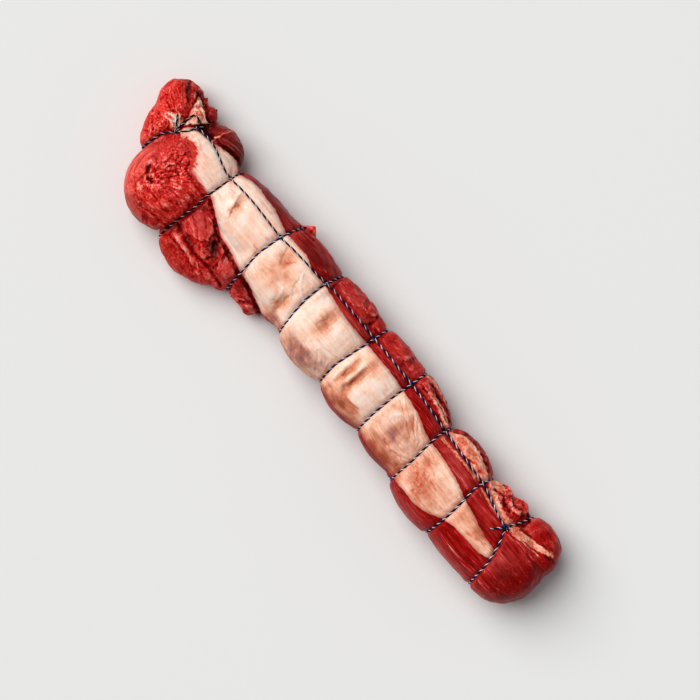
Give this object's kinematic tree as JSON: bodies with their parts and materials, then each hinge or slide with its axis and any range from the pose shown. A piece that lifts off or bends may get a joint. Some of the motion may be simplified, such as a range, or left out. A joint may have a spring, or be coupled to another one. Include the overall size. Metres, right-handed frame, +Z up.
{
  "type": "whole raw beef fillet tied as a roasting joint",
  "caption": "Long raw beef fillet with its pale silverskin, chain and folded tail, tied round and along with navy and white butcher's twine.",
  "frame": {"origin": "the middle of the joint's outline, on the surface that it lies on", "axes": "+X along the roll from the thick head to the folded tail, +Y towards the chain muscle, +Z up"},
  "size_m": [0.5141, 0.1136, 0.0639],
  "materials": {
    "raw_beef": "moist raw beef: crimson muscle, rough red cuts, cream silverskin and orange-pink fat",
    "twine": "twisted cotton twine, navy and white"
  },
  "bodies": {
    "root": {"beef_fillet": "raw_beef", "twine": "twine"}
  },
  "joints": []
}
